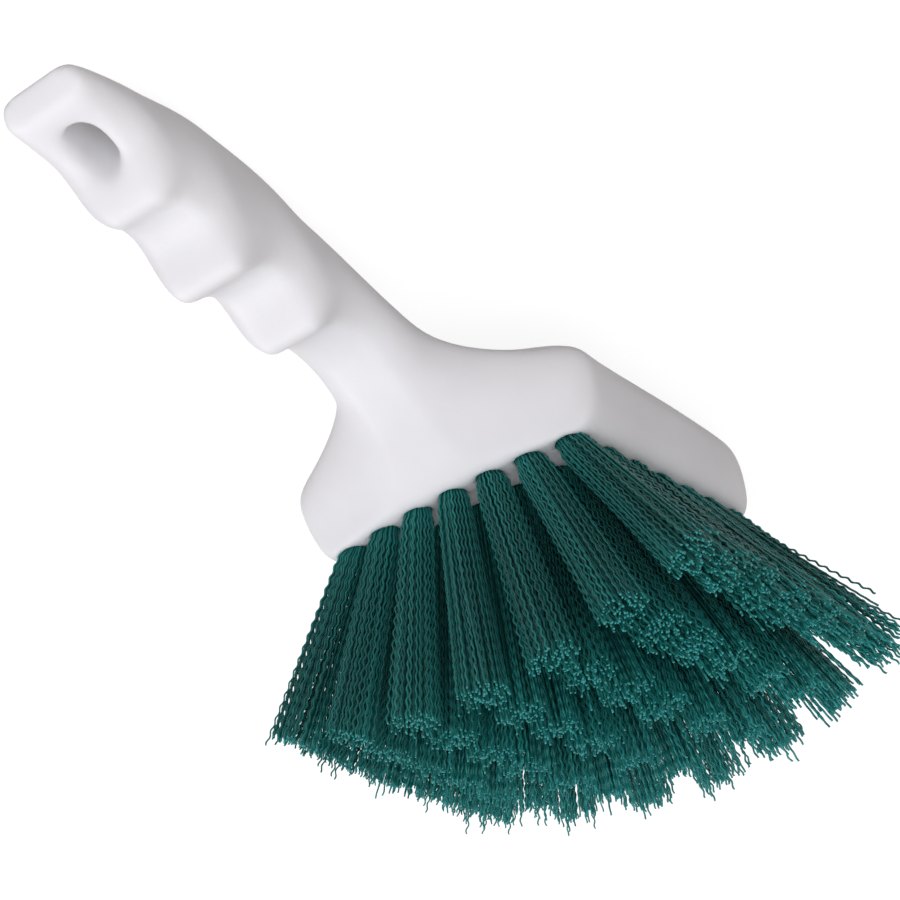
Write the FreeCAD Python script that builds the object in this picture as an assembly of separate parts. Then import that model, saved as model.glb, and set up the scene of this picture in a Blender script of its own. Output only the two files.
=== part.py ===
"""Hand scrub brush: a grip and block moulded in one piece, 49 splayed tufts and their anchor staples.

Millimetres. The brush is drawn with its tuft face level at z = 0, the tufts pointing up and the handle
towards -X. It is then laid on its back, the way it rests on a table: on the palm side of the handle
and on the front of the block.
"""
import FreeCAD, Part
import math
import os

from FreeCAD import Rotation, Vector

# Tuft field
row_count = 7
column_count = 7
row_pitch = 11.3
column_pitch = 10.3
row_bow = 2.9
hole_diameter = 6.8
hole_depth = 12.0
trim_length = 51.0
front_trim_gain = 6.0
side_trim_loss = 4.5
tip_diameter = 11.4
lock_groove = 1.5
tuft_sides = 8
side_splay_angle = 30.0
front_splay_angle = 23.5
rear_splay_angle = 7.5
tuft_clearance = 0.15
fold_height = 1.0

# Anchor staples
staple_height = 2.0
staple_thickness = 0.4
staple_lift = 1.5
staple_clearance = 0.05

# Block: depths are taken down from the tuft face
block_width = 81.6
corner_width = 86.0
face_width = 76.0
back_width = 48.0
front_reach = 45.0
corner_reach = 37.6
back_depth = 26.9
front_depth = 23.4
front_slant = 5.0
face_surplus = 1.2

# Handle: the last ridge is the one next to the block
handle_width = 25.6
palm_width = 16.0
finger_width = 14.4
handle_thickness = 25.9
handle_rise_angle = 17.4
grip_reach = 88.5
groove_depth = 27.6
ridge_height = 6.4
rear_finger_pitch = 19.8
front_finger_pitch = 25.7
panel_length = 22.2
panel_rise = 14.7
palm_drop = 6.2
butt_slant = 4.0

# Hang hole
hang_length = 13.4
hang_width = 7.6
hang_setback = 10.9

cut_overrun = 10.0

# Half sizes
block_half = block_width / 2
corner_half = corner_width / 2
face_half = face_width / 2
back_half = back_width / 2
handle_half = handle_width / 2
palm_half = palm_width / 2
finger_half = finger_width / 2
hole_radius = hole_diameter / 2

# A section's own proportions: where its flats, flanks and shoulders lie
flat_share = 0.72
low_share = 0.42
high_share = 0.58
grip_middle_share = 0.46
grip_flank_share = 0.82
block_flank_share = 0.75

# A tuft's own proportions: how far its fold draws in, and how much less a front corner leans forwards
fold_share = 0.6
corner_ease_share = 0.5

# Grip ribs from the first ridge to the last, a quarter groove apart: thickness, finger flat, ridge
grip_shares = (
    (0.78, 0.95, 1.0), (0.855, 1.0, 0.2), (0.92, 1.06, 0.0), (0.97, 1.14, 0.15), (1.0, 1.22, 1.65),
    (1.02, 1.19, 0.5), (1.015, 1.14, -0.35), (0.985, 1.06, -0.35), (0.945, 1.0, 1.15),
)

# Panel ribs from the first ridge back to the butt: place, rise, palm drop, slant, width, flat, middle
panel_shares = (
    (0.29, 0.74, 0.11, 0.25, 0.97, 0.94, 0.46),
    (0.56, 0.90, 0.26, 0.375, 0.94, 0.97, 0.46),
    (0.86, 1.03, 0.46, 0.66, 0.89, 1.06, 0.48),
    (0.98, 1.07, 0.68, 0.85, 0.86, 1.14, 0.5),
    (1.01, 1.12, 0.88, 0.75, 0.77, 1.04, 0.5),
)

# Neck ribs from the last ridge to the rear corners: place, finger depth, palm depth, width, face flat,
# back flat, middle, flank
neck_shares = (
    (0.115, 0.98, 0.91, -0.007, -0.007, 0.0, 0.46, 0.82),
    (0.267, 1.05, 0.76, -0.014, -0.014, 0.0, 0.44, 0.82),
    (0.44, 0.96, 0.61, -0.014, -0.02, 0.0, 0.42, 0.80),
    (0.59, 0.75, 0.455, 0.014, -0.02, 0.04, 0.46, 0.74),
    (0.705, 0.52, 0.30, 0.08, -0.007, 0.06, 0.60, 0.72),
    (0.80, 0.303, 0.12, 0.365, 0.02, 0.19, 0.67, 0.78),
    (0.88, 0.134, 0.0, 0.71, 0.13, 0.33, 0.68, 0.80),
    (0.935, 0.028, 0.0, 0.91, 0.42, 0.46, 0.68, 0.74),
    (0.973, 0.0, 0.0, 1.0, 0.72, 0.52, 0.69, 0.62),
    (1.0, 0.0, 0.0, 1.0, 0.91, 0.56, 0.70, 0.50),
)

# Block ribs from the rear corners to the front: place, face drop, back depth, width, corner, face flat,
# back flat, middle
block_shares = (
    (0.017, 0.0, 0.0, 1.0, 0.95, 0.985, 0.75, 0.73),
    (0.092, 0.0, 0.1, 1.0, 0.3, 1.0, 0.83, 0.76),
    (0.2615, 0.0, 0.3, 1.0, 0.0, 1.0, 0.92, 0.77),
    (0.455, 0.0, 0.45, 1.0, 0.0, 1.0, 0.96, 0.77),
    (0.649, 0.0, 0.65, 0.995, 0.0, 1.0, 1.0, 0.76),
    (0.83, 0.0, 0.88, 0.985, 0.0, 0.995, 1.0, 0.76),
    (0.925, 0.0, 1.0, 0.97, 0.0, 0.98, 1.0, 0.76),
    (0.975, 0.01, 1.2, 0.92, 0.0, 0.90, 0.96, 0.75),
    (0.996, 0.09, 1.55, 0.79, 0.0, 0.775, 0.88, 0.70),
    (1.0, 0.17, 1.8, 0.69, 0.0, 0.655, 0.75, 0.60),
)


def rib(face, back, half, face_flat, back_flat, middle_share, flank_share):
    """One closed control section between a face-side and a back-side point, each (x, depth)."""
    lower_half = face_flat + (half - face_flat) * flank_share
    upper_half = back_flat + (half - back_flat) * high_share
    flank = (
        (flat_share * face_flat, 0),
        (face_flat, 0),
        (lower_half, low_share * middle_share),
        (half, middle_share),
        (upper_half, middle_share + (1 - middle_share) * high_share),
        (back_flat, 1),
        (flat_share * back_flat, 1),
    )
    ring = [(0, 0)] + list(flank) + [(0, 1)] + [(-y, share) for y, share in reversed(flank)]
    run = back[0] - face[0]
    drop = back[1] - face[1]
    return [Vector(face[0] + share * run, y, -face[1] - share * drop) for y, share in ring]


def groove_line(x):
    """Depth of the finger grooves' floor, which rises away from the block along the handle."""
    return groove_depth + (-grip_reach - x) * math.tan(math.radians(handle_rise_angle))


def first_ridge_x():
    """Place of the ridge next to the butt."""
    return -grip_reach - front_finger_pitch - rear_finger_pitch


def grip_ribs():
    """Ribs over the three finger ridges and their two grooves, from the first ridge to the last."""
    middle_x = -grip_reach - front_finger_pitch
    half_count = (len(grip_shares) - 1) / 2
    ribs = []
    for index, (thick_share, finger_share, ridge_share) in enumerate(grip_shares):
        along = index / half_count - 1
        x = middle_x + along * (front_finger_pitch if along > 0 else rear_finger_pitch)
        floor = groove_line(x)
        finger = floor - ridge_height * ridge_share
        palm = floor + handle_thickness * thick_share
        finger_flat = finger_half * finger_share
        ribs.append(rib((x, finger), (x, palm), handle_half, finger_flat, palm_half,
                        grip_middle_share, grip_flank_share))
    return ribs


def panel_ribs():
    """Ribs from the butt forwards to just behind the first ridge."""
    first_x = first_ridge_x()
    floor = groove_line(first_x)
    finger = floor - ridge_height
    palm = floor + handle_thickness * grip_shares[0][0]
    ribs = []
    for place, rise, drop, slant, width, flat, middle in reversed(panel_shares):
        x = first_x - panel_length * place
        face = (x, finger + panel_rise * rise)
        back = (x - butt_slant * slant, palm - palm_drop * drop)
        ribs.append(rib(face, back, handle_half * width, finger_half * flat, palm_half,
                        middle, grip_flank_share))
    return ribs


def neck_ribs():
    """Ribs that carry the handle into the shoulders, down to the rear corners of the block."""
    run = grip_reach - corner_reach
    last_palm = groove_depth + handle_thickness * grip_shares[-1][0]
    ribs = []
    for place, finger, palm, width, face, back, middle, flank in neck_shares:
        x = -grip_reach + run * place
        face_depth = -face_surplus + (groove_depth + face_surplus) * finger
        depth = back_depth + (last_palm - back_depth) * palm
        half = handle_half + (corner_half - handle_half) * width
        face_flat = finger_half + (face_half - finger_half) * face
        back_flat = palm_half + (back_half - palm_half) * back
        ribs.append(rib((x, face_depth), (x, depth), half, face_flat, back_flat, middle, flank))
    return ribs


def block_ribs():
    """Ribs of the block, upright at the rear corners and leaning more towards the front face."""
    run = corner_reach + front_reach
    ribs = []
    for place, drop, back, width, corner, face, flat, middle in block_shares:
        x = -corner_reach + run * place
        face_depth = -face_surplus + back_depth * drop
        depth = back_depth + (front_depth - back_depth) * back
        half = block_half * width + (corner_half - block_half) * corner
        back_x = x - front_slant * place ** 3
        ribs.append(rib((x, face_depth), (back_x, depth), half, face_half * face, back_half * flat,
                        middle, block_flank_share))
    return ribs


def skin(ribs):
    """A cubic skin over the control sections, closed round each section and clamped at both ends."""
    degree = 3
    spans = len(ribs) - degree
    along = [degree + 1] + [1] * (spans - 1) + [degree + 1]
    around = [1] * (len(ribs[0]) + 1)
    surface = Part.BSplineSurface()
    surface.buildFromPolesMultsKnots(
        ribs, along, around, list(range(len(along))), list(range(len(around))), False, True, degree, degree)
    return surface


def closed_solid(surface):
    """The skin with its two flat ends closed."""
    first, last = surface.bounds()[:2]
    ends = [Part.Face(Part.Wire(surface.uIso(place).toShape())) for place in (first, last)]
    return Part.Solid(Part.Shell([surface.toShape()] + ends))


def tuft_places():
    """Row, column, foot on the tuft face, direction and trimmed length of every tuft."""
    half_rows = (row_count - 1) / 2
    half_columns = (column_count - 1) / 2
    places = []
    for row in range(row_count):
        along = (row - half_rows) / half_rows
        for column in range(column_count):
            across = (column - half_columns) / half_columns
            x = along * (half_rows * row_pitch + row_bow * (1 - across * across))
            y = across * half_columns * column_pitch
            lean_x = along * math.sin(math.radians(rear_splay_angle))
            if along > 0:
                ease = 1 - corner_ease_share * across * across
                lean_x = along * math.sin(math.radians(front_splay_angle)) * ease
            lean_y = across * math.sin(math.radians(side_splay_angle))
            axis = Vector(lean_x, lean_y, math.sqrt(1 - lean_x * lean_x - lean_y * lean_y))
            length = trim_length + front_trim_gain * (1 + along) / 2 - side_trim_loss * across * across
            places.append((row, column, Vector(x, y, 0), axis, length))
    return places


def seat(shape, foot, axis):
    """A shape drawn on the Z axis, turned to a tuft's direction and set on its foot."""
    shape.Placement = FreeCAD.Placement(foot, Rotation(Vector(0, 0, 1), axis))
    return shape


def staple_box(clearance):
    """The flat wire anchor across a hole near its floor, or the room that a tuft leaves for it."""
    flat_width = hole_diameter * math.cos(math.pi / tuft_sides)
    length = flat_width - staple_clearance * 2 + clearance * 2
    width = staple_thickness + clearance * 2
    height = staple_height + clearance * 2
    corner = Vector(-length / 2, -width / 2, staple_lift - hole_depth - clearance)
    return Part.makeBox(length, width, height, corner)


def tuft_ring(radius, height, start_share=0.5):
    """Corners of a tuft's section, turned so that two of its flats face the staple's ends."""
    angles = [2 * math.pi * (side + start_share) / tuft_sides for side in range(tuft_sides)]
    return [Vector(radius * math.cos(angle), radius * math.sin(angle), height) for angle in angles]


def flat_face(corners):
    """A flat face inside a closed run of corners."""
    return Part.Face(Part.makePolygon(corners + corners[:1]))


def hole_tool():
    """The cutter of one tuft hole, with as many sides as the tuft."""
    return flat_face(tuft_ring(hole_radius, -hole_depth)).extrude(Vector(0, 0, hole_depth + cut_overrun))


def tuft_solid(length):
    """One bundle: drawn in at its fold, straight in the hole, then flared and parted into locks."""
    root = hole_radius - tuft_clearance
    floor = tuft_clearance - hole_depth
    tip_radius = tip_diameter / 2
    groove_radius = tip_radius * math.cos(math.pi / tuft_sides) - lock_groove
    fold = tuft_ring(root * fold_share, floor)
    lower = tuft_ring(root, floor + fold_height)
    mouth = tuft_ring(root, 0)
    crests = tuft_ring(tip_radius, length)
    grooves = tuft_ring(groove_radius, length, 1)
    tips = [corner for pair in zip(crests, grooves) for corner in pair]
    faces = [flat_face(fold), flat_face(tips)]
    for side in range(tuft_sides):
        after = (side + 1) % tuft_sides
        groove = grooves[side]
        faces.append(flat_face([fold[side], fold[after], lower[after], lower[side]]))
        faces.append(flat_face([lower[side], lower[after], mouth[after], mouth[side]]))
        faces.append(flat_face([mouth[side], mouth[after], groove]))
        faces.append(flat_face([mouth[side], groove, crests[side]]))
        faces.append(flat_face([mouth[after], crests[after], groove]))
    bundle = Part.Solid(Part.Shell(faces))
    return bundle.cut(staple_box(tuft_clearance))


def hang_tool():
    """The long hang hole, drawn through the handle at right angles to the line of the grip."""
    half_run = (hang_length - hang_width) / 2
    radius = hang_width / 2
    reach = handle_thickness + cut_overrun
    near = Vector(-half_run, radius, 0)
    far = Vector(half_run, radius, 0)
    outline = Part.Wire([
        Part.makeLine(near, far),
        Part.Arc(far, Vector(half_run + radius, 0, 0), Vector(half_run, -radius, 0)).toShape(),
        Part.makeLine(Vector(half_run, -radius, 0), Vector(-half_run, -radius, 0)),
        Part.Arc(Vector(-half_run, -radius, 0), Vector(-half_run - radius, 0, 0), near).toShape(),
    ])
    prism = Part.Face(outline).extrude(Vector(0, 0, reach * 2))
    prism.translate(Vector(0, 0, -reach))
    prism.rotate(Vector(0, 0, 0), Vector(0, 1, 0), -handle_rise_angle)
    x = first_ridge_x() - hang_setback
    prism.translate(Vector(x, 0, -groove_line(x)))
    return prism


def handle_block(surface, places):
    """The moulded piece: skin trimmed level at the tuft face, hang hole cut, tuft holes drilled."""
    solid = closed_solid(surface)
    side = (grip_reach + panel_length + front_reach) * 2
    above = Part.makeBox(side, side, cut_overrun, Vector(-side / 2, -side / 2, 0))
    solid = solid.cut(above)
    solid = solid.cut(hang_tool())
    drills = [seat(hole_tool(), foot, axis) for row, column, foot, axis, length in places]
    return solid.cut(drills)


def rest_angle(surface):
    """Angle that brings the palm side of the handle and the front of the block down level."""
    around = surface.bounds()[2:]
    middle = (around[0] + around[1]) / 2
    back = surface.vIso(middle).discretize(Number=600)
    handle = [point for point in back if point.x < -grip_reach]
    block = [point for point in back if point.x > -corner_reach]
    angle = 0
    for attempt in range(20):
        def height(point):
            return point.z * math.cos(angle) - point.x * math.sin(angle)
        low_handle = min(handle, key=height)
        low_block = min(block, key=height)
        angle = math.atan2(low_block.z - low_handle.z, low_block.x - low_handle.x)
    return math.degrees(angle)


def main():
    os.makedirs("parts", exist_ok=True)
    surface = skin(panel_ribs() + grip_ribs() + neck_ribs() + block_ribs())
    places = tuft_places()
    nodes = {"handle_block": handle_block(surface, places)}
    staples = {}
    for row, column, foot, axis, length in places:
        nodes["tuft_r%d_c%d" % (row + 1, column + 1)] = seat(tuft_solid(length), foot, axis)
        staples.setdefault(row, []).append(seat(staple_box(0), foot, axis))
    for row, group in staples.items():
        nodes["anchor_staples_row_%d" % (row + 1)] = Part.makeCompound(group)
    angle = rest_angle(surface)
    for shape in nodes.values():
        shape.rotate(Vector(0, 0, 0), Vector(0, 1, 0), angle)
    box = Part.makeCompound(list(nodes.values())).optimalBoundingBox(False, False)
    drop = Vector(-box.Center.x, -box.Center.y, -box.ZMin)
    for name, shape in nodes.items():
        shape.translate(drop)
        shape.exportStep("parts/%s.step" % name)
    print("rest angle %.3f" % angle)
    print("size %.2f x %.2f x %.2f" % (box.XLength, box.YLength, box.ZLength))
    print("drop %.3f %.3f %.3f" % (drop.x, drop.y, drop.z))


main()
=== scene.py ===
"""Looks of the hand scrub brush: the moulded white handle block, its crimped tufts and a pale stage.

Metres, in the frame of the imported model: the brush lies on its back with the bristles up and the handle
towards -X. The picture is taken from above with the camera turned almost upside down.
"""
import math

import bpy
import numpy as np
from mathutils import Matrix, Vector


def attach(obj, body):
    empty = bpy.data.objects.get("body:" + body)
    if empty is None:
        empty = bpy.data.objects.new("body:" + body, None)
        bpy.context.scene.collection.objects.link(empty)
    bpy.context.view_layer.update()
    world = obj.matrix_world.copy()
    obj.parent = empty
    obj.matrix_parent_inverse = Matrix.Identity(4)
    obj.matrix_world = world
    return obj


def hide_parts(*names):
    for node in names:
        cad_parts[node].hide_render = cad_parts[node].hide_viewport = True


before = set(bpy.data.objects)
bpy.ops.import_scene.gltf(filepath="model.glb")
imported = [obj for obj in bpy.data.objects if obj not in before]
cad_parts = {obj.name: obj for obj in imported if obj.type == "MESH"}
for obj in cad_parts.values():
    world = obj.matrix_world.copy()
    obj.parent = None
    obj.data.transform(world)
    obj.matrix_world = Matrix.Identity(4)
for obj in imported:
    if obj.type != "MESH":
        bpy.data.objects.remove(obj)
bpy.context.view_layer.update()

MM = 0.001
TUFT_PREFIX = "tuft_"
STAPLE_PREFIX = "anchor_staples"

# Handle block: a fine even mesh, then rounding of the face's rim, the butt and the slot's lips
WELD_DISTANCE = 0.002 * MM
REMESH_VOXEL = 0.8 * MM
SOFTEN_STEPS = 4
SOFTEN_SHARE = 0.5
ROUND_STEPS = 24
RIM_DEPTHS = (-10.0 * MM, -5.0 * MM)
MOUTH_CLEARANCE = (3.5 * MM, 4.6 * MM)
CORNER_SPAN = (27.0 * MM, 38.0 * MM)
CORNER_SHARE = 0.3
BUTT_LENGTH = 24.0 * MM
BUTT_FADE = 4.0 * MM
BUTT_SHARE = 0.35
SLOT_STEPS = 60
SLOT_MIDDLE = -104.7 * MM
SLOT_HALF_RUN = 2.9 * MM
SLOT_REACH = (5.5 * MM, 9.0 * MM)
WEIGHT_LEVELS = 20

# Plastic
PLASTIC_TONES = ((0.3, (0.80, 0.795, 0.80)), (0.7, (0.85, 0.848, 0.85)))
PLASTIC_ROUGHNESS = 0.52
SCATTER_WEIGHT = 0.5
SCATTER_RADIUS = (1.0, 0.9, 0.85)
SCATTER_SCALE = 4.0 * MM
CLOUD_SCALE = 45
CLOUD_DETAIL = 4
GRAIN_SCALE = 900
GRAIN_DETAIL = 3
GRAIN_STRENGTH = 0.22
GRAIN_DEPTH = 0.2 * MM

# Tufts: how the filaments of a bundle stand
FILAMENTS = 86
FILAMENT_RADIUS = 0.27 * MM
FILAMENT_SIDES = 4
SEATED_LENGTH = 11.85 * MM
SUNK_LENGTH = 3.0 * MM
ROOT_RADIUS = 3.0 * MM
MOUTH_SWELL = 0.8 * MM
SWELL_LENGTH = 1.3 * MM
TIP_RADIUS = 5.7 * MM
GOLDEN_ANGLE = math.pi * (3 - math.sqrt(5))
PLACE_SPREAD = 0.06

# Tufts: crimp of the filaments
CRIMP_PITCH = 2.9 * MM
CRIMP_HEIGHT = 0.25 * MM
CRIMP_START = 2.5 * MM
CRIMP_TURN_SPREAD = 0.35
CRIMP_PITCH_SPREAD = 0.008
CRIMP_PHASE_SPREAD = 0.35

# Tufts: scatter and length of the tips
TIP_SCATTER = 0.45 * MM
LOOSE_SHARE = 0.12
LOOSE_SCATTER = 1.5 * MM
BEND_POWER = 1.5
TRIM_SCATTER = 0.5 * MM
LONG_SHARE = 0.22
LONG_GAIN = 0.9 * MM
LONGEST_GAIN = 3.0 * MM
FRONT_RAGGEDNESS = 1.0

# Tufts: steps along a filament, coarse where the inner ones are hidden
OUTER_SHARE = 0.55
FINE_STEP = 0.53 * MM
COARSE_STEP = 1.9 * MM
INNER_FINE_LENGTH = 9.0 * MM

# The sprung filament
STRAY_TUFT = "tuft_r6_c7"
STRAY_DRIFT = np.array((-0.8, 7.2, -4.1)) * MM
STRAY_LOSS = 2.3 * MM
STRAY_POWER = 1.4
STRAY_TONE = 0.3

# Filament tones, from 0 for the darkest to 1 for a cut tip
FILAMENT_TONES = (
    (0.0, (0.008, 0.075, 0.068)),
    (0.35, (0.0125, 0.150, 0.134)),
    (0.7, (0.022, 0.260, 0.240)),
    (1.0, (0.041, 0.372, 0.356)),
)
FILAMENT_ROUGHNESS = 0.34
FILAMENT_SPECULAR = 0.27
TONE_RANGE = (0.06, 0.44)
# Painted light in a filament's tone: the foot is lighter for painted bounce light and sheen off the white
# block, and the tip is lighter for painted light from above, more so on the front rows
BASE_PAINTED_LIGHT = 0.3
BASE_PAINTED_LIGHT_LENGTH = 9.0 * MM
TIP_PAINTED_LIGHT = 0.12
FRONT_TIP_PAINTED_LIGHT = 0.3
TIP_PAINTED_LIGHT_FROM = 0.7
CUT_TONE = 1

# Bake map of a tuft: columns of cells, and shares of a filament's own cell
BAKE_COLUMNS = 10
STRIP_LEFT = 0.06
STRIP_PITCH = 0.16
STRIP_WIDTH = 0.14
STRIP_FOOT = 0.05
STRIP_LENGTH = 0.9
END_LEFT = 0.76
END_FOOT = 0.1
END_PITCH = 0.4
END_SIZE = (0.16, 0.3)

# Staple wire
WIRE_COLOUR = (0.55, 0.55, 0.56, 1)
WIRE_ROUGHNESS = (0.25, 0.45)
SCRATCH_SCALE = 900

# Floor and light
FLOOR_WIDTH = 24.0
FLOOR_COLOUR = (0.28, 0.27, 0.262, 1)
FLOOR_GLOW = 0.86
WORLD_COLOUR = (1, 0.952, 0.945, 1)
WORLD_STRENGTH = 0.55
KEY_COLOUR = (0.895, 0.92, 1)
KEY_WIDTH = 0.7
KEY_AIM = Vector((0, 0, 0.03))
KEYS = (
    ("far key", Vector((-0.1, -0.77, 0.81)), 4.9),
    ("near key", Vector((-0.55, 0.55, 0.81)), 4.38),
    ("end key", Vector((-0.7, -0.6, 0.58)), 0.52),
)

# Camera
EYE = Vector((-310.95, 227.0, 345.57)) * MM
AIM = Vector((40.44, -20.6, -2.08)) * MM
ROLL = math.radians(175.982)
LENS = 88.0
SENSOR = 36.0
NEAREST = 10.0 * MM


def new_material(name):
    """A material with an empty node tree, then that tree and its output node."""
    material = bpy.data.materials.new(name)
    material.use_nodes = True
    tree = material.node_tree
    tree.nodes.clear()
    return material, tree, tree.nodes.new("ShaderNodeOutputMaterial")


def add(tree, kind, sockets=(), **settings):
    """A new node, with its settings and the values of its sockets filled in."""
    node = tree.nodes.new(kind)
    for name, value in settings.items():
        setattr(node, name, value)
    for socket, value in dict(sockets).items():
        node.inputs[socket].default_value = value
    return node


def ramp(tree, stops):
    """A colour ramp through stops of place and colour."""
    node = add(tree, "ShaderNodeValToRGB")
    elements = node.color_ramp.elements
    while len(elements) < len(stops):
        elements.new(0.5)
    for element, (place, colour) in zip(elements, stops):
        element.position = place
        element.color = (*colour, 1)
    return node


def plastic_material():
    """Matt white foamed plastic: a faint cloud of tone, and a fine moulded grain."""
    material, tree, output = new_material("white_foamed_plastic")
    shader = add(tree, "ShaderNodeBsdfPrincipled", {
        "Roughness": PLASTIC_ROUGHNESS,
        "Subsurface Weight": SCATTER_WEIGHT,
        "Subsurface Radius": SCATTER_RADIUS,
        "Subsurface Scale": SCATTER_SCALE,
    })
    place = add(tree, "ShaderNodeTexCoord")
    cloud = add(tree, "ShaderNodeTexNoise", {"Scale": CLOUD_SCALE, "Detail": CLOUD_DETAIL})
    tones = ramp(tree, PLASTIC_TONES)
    grain = add(tree, "ShaderNodeTexNoise", {"Scale": GRAIN_SCALE, "Detail": GRAIN_DETAIL})
    bump = add(tree, "ShaderNodeBump", {"Strength": GRAIN_STRENGTH, "Distance": GRAIN_DEPTH})
    tree.links.new(place.outputs["Object"], cloud.inputs["Vector"])
    tree.links.new(place.outputs["Object"], grain.inputs["Vector"])
    tree.links.new(cloud.outputs["Fac"], tones.inputs["Fac"])
    tree.links.new(tones.outputs["Color"], shader.inputs["Base Color"])
    tree.links.new(grain.outputs["Fac"], bump.inputs["Height"])
    tree.links.new(bump.outputs["Normal"], shader.inputs["Normal"])
    tree.links.new(shader.outputs["BSDF"], output.inputs["Surface"])
    return material


def bristle_material():
    """Glossy teal filament, with a random tone of its own and a lighter cut end; its lighter foot is painted
    bounce light and sheen, and its lighter tip is painted light from above.
    """
    material, tree, output = new_material("teal_filament")
    shader = add(tree, "ShaderNodeBsdfPrincipled", {
        "Roughness": FILAMENT_ROUGHNESS,
        "Specular IOR Level": FILAMENT_SPECULAR,
    })
    tone = add(tree, "ShaderNodeAttribute", attribute_name="tone")
    tones = ramp(tree, FILAMENT_TONES)
    tree.links.new(tone.outputs["Fac"], tones.inputs["Fac"])
    tree.links.new(tones.outputs["Color"], shader.inputs["Base Color"])
    tree.links.new(shader.outputs["BSDF"], output.inputs["Surface"])
    return material


def steel_material():
    """Drawn flat wire of the hidden staples."""
    material, tree, output = new_material("drawn_wire")
    shader = add(tree, "ShaderNodeBsdfPrincipled", {"Metallic": 1, "Base Color": WIRE_COLOUR})
    place = add(tree, "ShaderNodeTexCoord")
    scratch = add(tree, "ShaderNodeTexNoise", {"Scale": SCRATCH_SCALE})
    smoothest, roughest = WIRE_ROUGHNESS
    rough = add(tree, "ShaderNodeMapRange", {"To Min": smoothest, "To Max": roughest})
    tree.links.new(place.outputs["Object"], scratch.inputs["Vector"])
    tree.links.new(scratch.outputs["Fac"], rough.inputs["Value"])
    tree.links.new(rough.outputs["Result"], shader.inputs["Roughness"])
    tree.links.new(shader.outputs["BSDF"], output.inputs["Surface"])
    return material


def floor_material():
    """A pale floor that looks white to the camera and still takes the brush's shadow."""
    material, tree, output = new_material("pale_floor")
    diffuse = add(tree, "ShaderNodeBsdfDiffuse", {"Color": FLOOR_COLOUR})
    glow = add(tree, "ShaderNodeEmission")
    path = add(tree, "ShaderNodeLightPath")
    seen = add(tree, "ShaderNodeMath", operation="MAXIMUM")
    seen_too = add(tree, "ShaderNodeMath", operation="MAXIMUM")
    level = add(tree, "ShaderNodeMath", {1: FLOOR_GLOW}, operation="MULTIPLY")
    both = add(tree, "ShaderNodeAddShader")
    tree.links.new(path.outputs["Is Camera Ray"], seen.inputs[0])
    tree.links.new(path.outputs["Is Glossy Ray"], seen.inputs[1])
    tree.links.new(seen.outputs[0], seen_too.inputs[0])
    tree.links.new(path.outputs["Is Transmission Ray"], seen_too.inputs[1])
    tree.links.new(seen_too.outputs[0], level.inputs[0])
    tree.links.new(level.outputs[0], glow.inputs["Strength"])
    tree.links.new(diffuse.outputs[0], both.inputs[0])
    tree.links.new(glow.outputs[0], both.inputs[1])
    tree.links.new(both.outputs[0], output.inputs["Surface"])
    return material


def new_piece(name, mesh, material):
    """An object in the scene, of one material."""
    piece = bpy.data.objects.new(name, mesh)
    bpy.context.scene.collection.objects.link(piece)
    mesh.materials.clear()
    mesh.materials.append(material)
    return piece


def applied(piece):
    """Puts the result of a piece's modifiers into its mesh."""
    graph = bpy.context.evaluated_depsgraph_get()
    mesh = bpy.data.meshes.new_from_object(piece.evaluated_get(graph))
    old = piece.data
    piece.modifiers.clear()
    piece.data = mesh
    bpy.data.meshes.remove(old)
    mesh.name = piece.name


def eased(value, low, high):
    """0 up to the low end, 1 from the high end on, with a smooth passage between them."""
    share = np.clip((value - low) / (high - low), 0, 1)
    return share * share * (3 - 2 * share)


def mesh_points(mesh):
    """The places of a mesh's points, a row for each."""
    points = np.empty(len(mesh.vertices) * 3)
    mesh.vertices.foreach_get("co", points)
    return points.reshape(-1, 3)


def slot_weights(points):
    """How much each point takes part in the rounding of the hang slot's lips."""
    past_run = np.clip(np.abs(points[:, 0] - SLOT_MIDDLE) - SLOT_HALF_RUN, 0, None)
    return 1 - eased(np.hypot(past_run, points[:, 1]), *SLOT_REACH)


def rim_weights(points, lines):
    """How much each point takes part in the rounding of the tuft face's rim, and of the butt."""
    feet = np.array([foot for foot, axis, trim in lines])
    middle = feet.mean(0)
    normal = np.linalg.svd(feet - middle, full_matrices=False)[2][2]
    height = (points - middle) @ normal * np.sign(normal[2])
    clear = np.full(len(points), np.inf)
    for foot, axis, trim in lines:
        away = points - foot
        away = away - np.outer(away @ axis, axis)
        clear = np.minimum(clear, np.linalg.norm(away, axis=1))
    rim = eased(height, *RIM_DEPTHS) * eased(clear, *MOUTH_CLEARANCE)
    rim = rim * (1 - (1 - CORNER_SHARE) * eased(np.abs(points[:, 1]), *CORNER_SPAN))
    butt = BUTT_SHARE * eased(points[:, 0].min() + BUTT_LENGTH - points[:, 0], 0, BUTT_FADE)
    return np.maximum(rim, butt)


def smoothed(piece, weights, steps):
    """Smooths a piece where the weights of its points say so."""
    levels = np.round(weights * WEIGHT_LEVELS)
    group = piece.vertex_groups.new(name="smoothed")
    for level in range(1, WEIGHT_LEVELS + 1):
        group.add(np.nonzero(levels == level)[0].tolist(), level / WEIGHT_LEVELS, "REPLACE")
    smooth = piece.modifiers.new("smooth", "SMOOTH")
    smooth.factor = SOFTEN_SHARE
    smooth.iterations = steps
    smooth.vertex_group = group.name
    applied(piece)
    piece.vertex_groups.clear()


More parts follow.
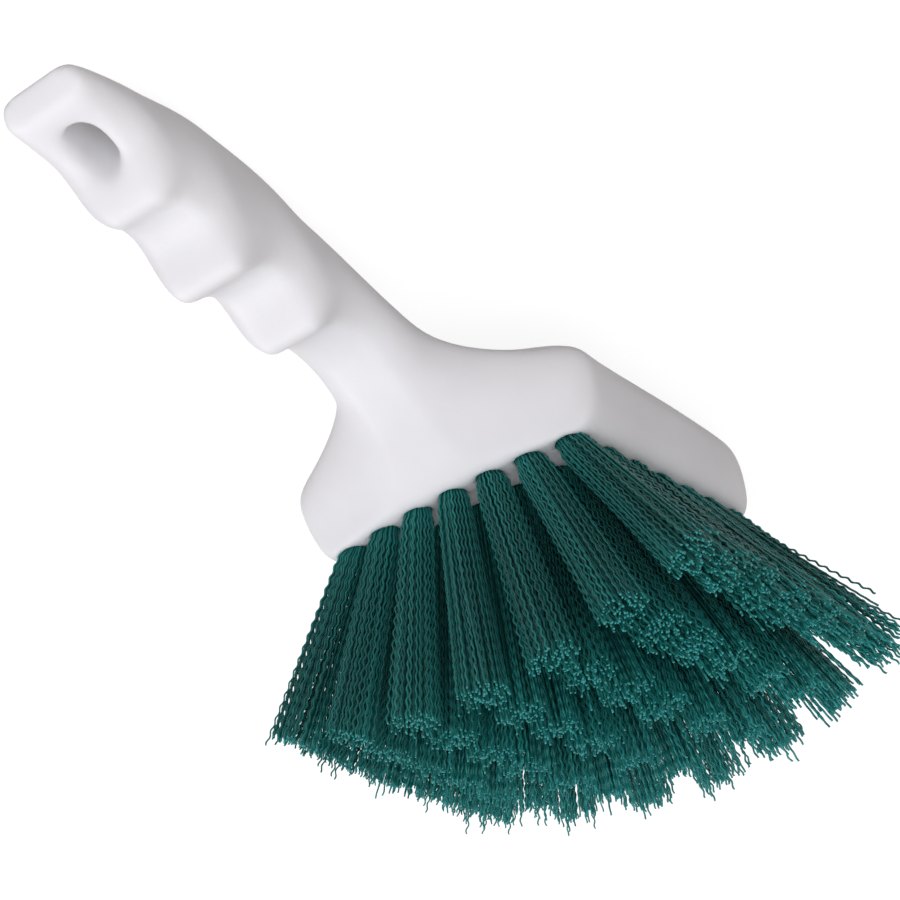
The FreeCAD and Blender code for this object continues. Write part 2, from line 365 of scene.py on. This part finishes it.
def handle_piece(material, lines):
    """The moulding, with the rims of its face, its butt and its hang slot softened."""
    piece = new_piece("moulded_handle_block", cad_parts["handle_block"].data.copy(), material)
    weld = piece.modifiers.new("weld", "WELD")
    weld.merge_threshold = WELD_DISTANCE
    remesh = piece.modifiers.new("remesh", "REMESH")
    remesh.mode = "VOXEL"
    remesh.voxel_size = REMESH_VOXEL
    soften = piece.modifiers.new("soften", "SMOOTH")
    soften.factor = SOFTEN_SHARE
    soften.iterations = SOFTEN_STEPS
    applied(piece)
    smoothed(piece, rim_weights(mesh_points(piece.data), lines), ROUND_STEPS)
    smoothed(piece, slot_weights(mesh_points(piece.data)), SLOT_STEPS)
    piece.data.polygons.foreach_set("use_smooth", [True] * len(piece.data.polygons))
    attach(piece, "root")
    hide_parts("handle_block")


def tuft_line(node):
    """Foot on the tuft face, direction and free length of a tuft.

    They are read from its solid, a bar about its own axis.
    """
    corners = np.array([vertex.co for vertex in node.data.vertices])
    middle = corners.mean(0)
    axis = np.linalg.svd(corners - middle, full_matrices=False)[2][0]
    axis = axis * np.sign(axis[2])
    along = (corners - middle) @ axis
    foot = middle + axis * (along.min() + SEATED_LENGTH)
    return foot, axis, np.ptp(along) - SEATED_LENGTH


def filament_lines(foot, axis, trim, front_share, chance):
    """Centre lines of a tuft's filaments, and two directions across the tuft.

    Each line is a row of points and the tone at each point, which holds painted light at the foot and near
    the tip.
    """
    side = np.cross(axis, (1, 0, 0))
    side = side / np.linalg.norm(side)
    other = np.cross(axis, side)
    ragged = 1 + FRONT_RAGGEDNESS * front_share
    phase = chance.uniform(0, 2 * math.pi)
    wave_angle = chance.uniform(0, 2 * math.pi)
    lines = []
    for index in range(FILAMENTS):
        reach = math.sqrt((index + 0.5) / FILAMENTS)
        angle = index * GOLDEN_ANGLE + chance.normal(0, PLACE_SPREAD)
        outward = math.cos(angle) * side + math.sin(angle) * other
        crimp_angle = wave_angle + chance.normal(0, CRIMP_TURN_SPREAD)
        crimp_way = math.cos(crimp_angle) * side + math.sin(crimp_angle) * other
        pitch = CRIMP_PITCH * (1 + chance.normal(0, CRIMP_PITCH_SPREAD))
        own_phase = phase + chance.normal(0, CRIMP_PHASE_SPREAD)
        scatter = LOOSE_SCATTER if chance.random() < LOOSE_SHARE else TIP_SCATTER
        drift = chance.normal(0, scatter, 2) * ragged
        length = trim + chance.normal(0, TRIM_SCATTER) * ragged
        if chance.random() < LONG_SHARE:
            length = length + min(chance.exponential(LONG_GAIN) * ragged, LONGEST_GAIN)
        outer = reach * reach > 1 - OUTER_SHARE
        fine_from = 0 if outer else length - INNER_FINE_LENGTH
        coarse = np.arange(-SUNK_LENGTH, fine_from, COARSE_STEP)
        s = np.concatenate([coarse, np.arange(fine_from, length, FINE_STEP), [length]])
        share = np.clip(s / trim, 0, None)
        out = np.clip(s, 0, None)
        swell = MOUTH_SWELL * (1 - np.exp(-out / SWELL_LENGTH))
        radius = ROOT_RADIUS + swell + (TIP_RADIUS - ROOT_RADIUS - MOUTH_SWELL) * share
        height = CRIMP_HEIGHT * np.clip(s / CRIMP_START, 0, 1)
        wave = height * np.sin(2 * math.pi * s / pitch + own_phase)
        bend = drift[0] * side + drift[1] * other
        points = (
            foot + s[:, None] * axis + (reach * radius)[:, None] * outward
            + wave[:, None] * crimp_way + (share ** BEND_POWER)[:, None] * bend)
        # A random tone of the filament's own, plus painted bounce light and sheen at the foot and painted
        # light from above near the tip, strongest on the front rows
        tone = chance.uniform(*TONE_RANGE) + BASE_PAINTED_LIGHT * np.exp(-out / BASE_PAINTED_LIGHT_LENGTH)
        tone = tone + (TIP_PAINTED_LIGHT + FRONT_TIP_PAINTED_LIGHT * front_share) * eased(share, TIP_PAINTED_LIGHT_FROM, 1)
        tone[-1] = CUT_TONE
        lines.append((points, tone))
    return lines, side, other


def stray_line(foot, axis, trim):
    """The one filament that has sprung out of its tuft: bent outwards, crimped and clear of the others."""
    s = np.arange(-SUNK_LENGTH, trim - STRAY_LOSS, FINE_STEP)
    outward = STRAY_DRIFT / np.linalg.norm(STRAY_DRIFT)
    wave = CRIMP_HEIGHT * np.sin(2 * math.pi * s / CRIMP_PITCH)
    points = (
        foot + s[:, None] * axis + (ROOT_RADIUS + wave)[:, None] * outward
        + (np.clip(s / trim, 0, None) ** STRAY_POWER)[:, None] * STRAY_DRIFT)
    return points, np.full(len(s), STRAY_TONE)


def bake_map(mesh, lines, face_filament, face_ring, face_side):
    """An even map of a tuft: a cell for each filament.

    The filament's four sides are strips in its cell, and its two ends are squares beside them.
    """
    rows = math.ceil(len(lines) / BAKE_COLUMNS)
    cell = np.array((1 / BAKE_COLUMNS, 1 / rows))
    corner = np.stack([face_filament % BAKE_COLUMNS, face_filament // BAKE_COLUMNS], -1) * cell
    rings = np.array([len(points) for points, tone in lines])[face_filament] - 1
    left = STRIP_LEFT + STRIP_PITCH * face_side
    low = np.stack([left, STRIP_FOOT + STRIP_LENGTH * face_ring / rings], -1)
    high = np.stack([left + STRIP_WIDTH, STRIP_FOOT + STRIP_LENGTH * (face_ring + 1) / rings], -1)
    ends = face_ring < 0
    end_low = np.stack([np.full(len(ends), END_LEFT), END_FOOT + END_PITCH * face_side], -1)
    low = np.where(ends[:, None], end_low, low)
    high = np.where(ends[:, None], end_low + END_SIZE, high)
    low_right = np.stack([high[:, 0], low[:, 1]], -1)
    high_left = np.stack([low[:, 0], high[:, 1]], -1)
    square = np.stack([low, low_right, high, high_left], 1)
    layer = mesh.uv_layers.new(name="OFBake")
    layer.data.foreach_set("uv", (corner[:, None, :] + square * cell).ravel().astype(np.float32))


def tuft_mesh(name, line, front_share, chance):
    """One mesh of all the filaments of a tuft: square tubes with smooth sides, closed at both ends.

    The sides of a tube are quads, so its ends fit the same list of faces only while it has four sides.
    """
    lines, side, other = filament_lines(*line, front_share, chance)
    if name.startswith(STRAY_TUFT):
        lines.append(stray_line(*line))
    turns = np.arange(FILAMENT_SIDES) * 2 * math.pi / FILAMENT_SIDES
    ring = FILAMENT_RADIUS * (np.cos(turns)[:, None] * side + np.sin(turns)[:, None] * other)
    vertices, faces, tones, marks = [], [], [], []
    start = 0
    for number, (points, tone) in enumerate(lines):
        count = len(points)
        vertices.append((points[:, None, :] + ring[None, :, :]).reshape(-1, 3))
        tones.append(np.repeat(tone, FILAMENT_SIDES))
        grid = start + np.arange(count * FILAMENT_SIDES).reshape(count, FILAMENT_SIDES)
        after = np.roll(grid, -1, axis=1)
        quads = np.stack([grid[:-1], after[:-1], after[1:], grid[1:]], axis=-1)
        faces.append(quads.reshape(-1, FILAMENT_SIDES))
        faces.append(grid[-1][None, :])
        faces.append(grid[0][::-1][None, :])
        ring_marks, side_marks = np.divmod(np.arange((count - 1) * FILAMENT_SIDES), FILAMENT_SIDES)
        marks.append(np.stack([np.full(len(ring_marks), number), ring_marks, side_marks], -1))
        marks.append(np.array(((number, -1, 0), (number, -1, 1))))
        start += count * FILAMENT_SIDES
    vertices = np.concatenate(vertices)
    faces = np.concatenate(faces)
    mesh = bpy.data.meshes.new(name)
    mesh.vertices.add(len(vertices))
    mesh.vertices.foreach_set("co", vertices.ravel())
    mesh.loops.add(faces.size)
    mesh.loops.foreach_set("vertex_index", faces.ravel())
    mesh.polygons.add(len(faces))
    mesh.polygons.foreach_set("loop_start", np.arange(0, faces.size, FILAMENT_SIDES))
    mesh.polygons.foreach_set("use_smooth", np.ones(len(faces), bool))
    mesh.update(calc_edges=True)
    mesh.validate()
    bake_map(mesh, lines, *np.concatenate(marks).T)
    attribute = mesh.attributes.new("tone", "FLOAT", "POINT")
    attribute.data.foreach_set("value", np.concatenate(tones).astype(np.float32))
    return mesh


def tuft_pieces(material, lines):
    """A piece of filaments for each tuft, more ragged and with more painted light on its tips towards the
    front row.
    """
    places = [foot[0] for foot, axis, trim in lines.values()]
    rear, front = places[0], places[-1]
    for seed, (name, line) in enumerate(lines.items()):
        chance = np.random.default_rng(seed)
        front_share = (places[seed] - rear) / (front - rear)
        mesh = tuft_mesh(name + "_filaments", line, front_share, chance)
        piece = new_piece("bristles_" + name.removeprefix(TUFT_PREFIX), mesh, material)
        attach(piece, "root")
        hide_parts(name)


def staples(material):
    """The hidden staples keep their solids."""
    for name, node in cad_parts.items():
        if name.startswith(STAPLE_PREFIX):
            node.data.materials.clear()
            node.data.materials.append(material)


def stage():
    """The floor, wide enough to fill the picture from every side."""
    half = FLOOR_WIDTH / 2
    corners = [(-half, -half, 0), (half, -half, 0), (half, half, 0), (-half, half, 0)]
    mesh = bpy.data.meshes.new("floor")
    mesh.from_pydata(corners, [], [(0, 1, 2, 3)])
    floor = new_piece("floor", mesh, floor_material())


def lights():
    """An even warm world, and three cool soft keys."""
    world = bpy.data.worlds.new("studio")
    bpy.context.scene.world = world
    world.use_nodes = True
    background = world.node_tree.nodes["Background"]
    background.inputs["Color"].default_value = WORLD_COLOUR
    background.inputs["Strength"].default_value = WORLD_STRENGTH
    for name, place, power in KEYS:
        data = bpy.data.lights.new(name, "AREA")
        data.shape = "SQUARE"
        data.size = KEY_WIDTH
        data.energy = power
        data.color = KEY_COLOUR
        light = bpy.data.objects.new(name, data)
        light.location = place
        light.rotation_euler = (KEY_AIM - place).to_track_quat("-Z", "Y").to_euler()
        bpy.context.scene.collection.objects.link(light)


def camera():
    """The photograph's view: level first, then rolled about the line of sight."""
    data = bpy.data.cameras.new("camera")
    data.lens = LENS
    data.sensor_width = SENSOR
    data.clip_start = NEAREST
    eye = bpy.data.objects.new("camera", data)
    look = (AIM - EYE).normalized()
    right = look.cross(Vector((0, 0, 1))).normalized()
    up = right.cross(look)
    turned_right = math.cos(ROLL) * right + math.sin(ROLL) * up
    turned_up = math.cos(ROLL) * up - math.sin(ROLL) * right
    axes = Matrix((turned_right, turned_up, -look)).transposed()
    eye.matrix_world = Matrix.Translation(EYE) @ axes.to_4x4()
    bpy.context.scene.collection.objects.link(eye)
    bpy.context.scene.camera = eye


bpy.context.scene.view_settings.view_transform = "Standard"
tuft_names = sorted(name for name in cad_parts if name.startswith(TUFT_PREFIX))
tuft_lines = {name: tuft_line(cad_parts[name]) for name in tuft_names}
handle_piece(plastic_material(), list(tuft_lines.values()))
tuft_pieces(bristle_material(), tuft_lines)
staples(steel_material())
stage()
lights()
camera()
